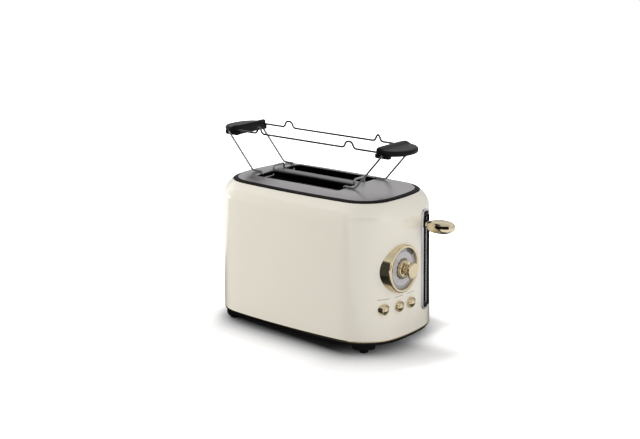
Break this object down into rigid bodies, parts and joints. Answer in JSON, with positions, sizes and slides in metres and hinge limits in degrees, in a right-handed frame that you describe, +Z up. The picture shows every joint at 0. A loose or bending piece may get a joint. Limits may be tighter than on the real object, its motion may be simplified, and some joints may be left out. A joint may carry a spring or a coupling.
{
  "type": "slot toaster",
  "caption": "Slot toaster with a rounded enamelled shell, end lever, browning dial, push buttons, leaning bread guards, crumb tray and a lift-off bun rack.",
  "frame": {"origin": "on the surface that the feet stand on, under the middle of the overall length, on the body's long centre line", "axes": "+Z up, +X towards the end with the lever, dial and buttons, -Y towards the long side that faces the viewer with the controls on the right"},
  "size_m": [0.3458, 0.17, 0.2614],
  "materials": {
    "cream_paint": "gloss enamel",
    "pale_gold": "polished, pale gold",
    "black_moulding": "satin to gloss",
    "black_rubber": "matt",
    "brushed_deck_steel": "fine brushed, glossy",
    "bright_trim": "bright",
    "dial_grey": "satin, printed scale",
    "sheet_steel": "plated",
    "bright_reflector": "bright",
    "screw_steel": "zinc plated",
    "mica": "mica sheet",
    "heater_ribbon": "oxidised",
    "copper_winding": "enamelled",
    "inner_moulding": "moulded",
    "board_laminate": "lacquered"
  },
  "bodies": {
    "housing": {"base_band": "pale_gold", "base_screws": "screw_steel", "base_tray": "black_moulding", "board_screws": "screw_steel", "bracket_screws": "screw_steel", "button_switches": "inner_moulding", "cancel_bezel": "pale_gold", "chassis_control_end": "sheet_steel", "chassis_cord_end": "sheet_steel", "circuit_board": "board_laminate", "cord_bush": "black_rubber", "deck_gasket": "black_rubber", "deck_plate": "brushed_deck_steel", "defrost_bezel": "pale_gold", "dial_bezel": "pale_gold", "dial_face": "dial_grey", "guide_rod": "sheet_steel", "heater_card_back": "mica", "heater_card_centre": "mica", "heater_card_front": "mica", "heater_ribbons_back": "heater_ribbon", "heater_ribbons_centre": "heater_ribbon", "heater_ribbons_front": "heater_ribbon", "lever_slot_liner": "black_moulding", "lever_slot_trim": "bright_trim", "magnet_coil": "copper_winding", "magnet_core": "sheet_steel", "magnet_stand": "inner_moulding", "outer_shell": "cream_paint", "potentiometer": "inner_moulding", "reheat_bezel": "pale_gold", "return_spring": "sheet_steel", "rod_bracket": "sheet_steel", "rubber_feet": "black_rubber", "side_reflector_back": "bright_reflector", "side_reflector_front": "bright_reflector", "terminal_block": "inner_moulding"},
    "carriage": {"carriage_bracket": "sheet_steel", "lever_arm": "sheet_steel", "lever_knob": "pale_gold", "lifter_front": "sheet_steel", "lifter_back": "sheet_steel", "armature_plate": "sheet_steel"},
    "guard_front_outer_frame": {"guard_front_outer": "sheet_steel"},
    "guard_front_inner_frame": {"guard_front_inner": "sheet_steel"},
    "guard_back_inner_frame": {"guard_back_inner": "sheet_steel"},
    "guard_back_outer_frame": {"guard_back_outer": "sheet_steel"},
    "dial_knob": {"browning_knob": "pale_gold", "knob_shaft": "screw_steel"},
    "cancel_push": {"cancel_button": "pale_gold"},
    "reheat_push": {"reheat_button": "pale_gold"},
    "defrost_push": {"defrost_button": "pale_gold"},
    "tray": {"crumb_tray": "sheet_steel"},
    "bun_rack": {"rack_wire_front": "bright_trim", "rack_wire_back": "bright_trim", "rack_legs_left": "bright_trim", "rack_legs_right": "bright_trim", "rack_handle_left": "black_moulding", "rack_handle_right": "black_moulding"}
  },
  "joints": [
    {"name": "carriage_slide", "type": "slide", "parent": "housing", "child": "carriage", "axis": [0, 0, -1], "range_m": [0, 0.088], "stiffness_N_per_m": 60, "springref_m": -0.05, "deforming": ["return_spring"]},
    {"name": "guard_front_outer_lean", "type": "hinge", "parent": "housing", "child": "guard_front_outer_frame", "pos_m": [-0.02145, -0.0407, 0.048], "axis": [-1, 0, 0], "range_deg": [0, 5]},
    {"name": "guard_front_inner_lean", "type": "hinge", "parent": "housing", "child": "guard_front_inner_frame", "pos_m": [-0.02145, -0.0103, 0.048], "axis": [1, 0, 0], "range_deg": [0, 5]},
    {"name": "guard_back_inner_lean", "type": "hinge", "parent": "housing", "child": "guard_back_inner_frame", "pos_m": [-0.02145, 0.0103, 0.048], "axis": [-1, 0, 0], "range_deg": [0, 5]},
    {"name": "guard_back_outer_lean", "type": "hinge", "parent": "housing", "child": "guard_back_outer_frame", "pos_m": [-0.02145, 0.0407, 0.048], "axis": [1, 0, 0], "range_deg": [0, 5]},
    {"name": "browning_turn", "type": "hinge", "parent": "housing", "child": "dial_knob", "pos_m": [0.13555, -0.0217, 0.1072], "axis": [1, 0, 0], "range_deg": [-135, 135]},
    {"name": "cancel_press", "type": "slide", "parent": "housing", "child": "cancel_push", "axis": [-1, 0, 0], "range_m": [0, 0.002], "stiffness_N_per_m": 250, "springref_m": -0.002},
    {"name": "reheat_press", "type": "slide", "parent": "housing", "child": "reheat_push", "axis": [-1, 0, 0], "range_m": [0, 0.002], "stiffness_N_per_m": 250, "springref_m": -0.002},
    {"name": "defrost_press", "type": "slide", "parent": "housing", "child": "defrost_push", "axis": [-1, 0, 0], "range_m": [0, 0.002], "stiffness_N_per_m": 250, "springref_m": -0.002},
    {"name": "tray_slide", "type": "slide", "parent": "housing", "child": "tray", "axis": [-1, 0, 0], "range_m": [0, 0.2]},
    {"name": "rack_lift", "type": "slide", "parent": "housing", "child": "bun_rack", "axis": [0, 0, 1], "range_m": [0, 0.06]}
  ],
  "couplings": [
    {"joint": "guard_front_outer_lean", "follows": "carriage_slide", "rad_per_m": 0.99},
    {"joint": "guard_front_inner_lean", "follows": "carriage_slide", "rad_per_m": 0.99},
    {"joint": "guard_back_inner_lean", "follows": "carriage_slide", "rad_per_m": 0.99},
    {"joint": "guard_back_outer_lean", "follows": "carriage_slide", "rad_per_m": 0.99}
  ]
}
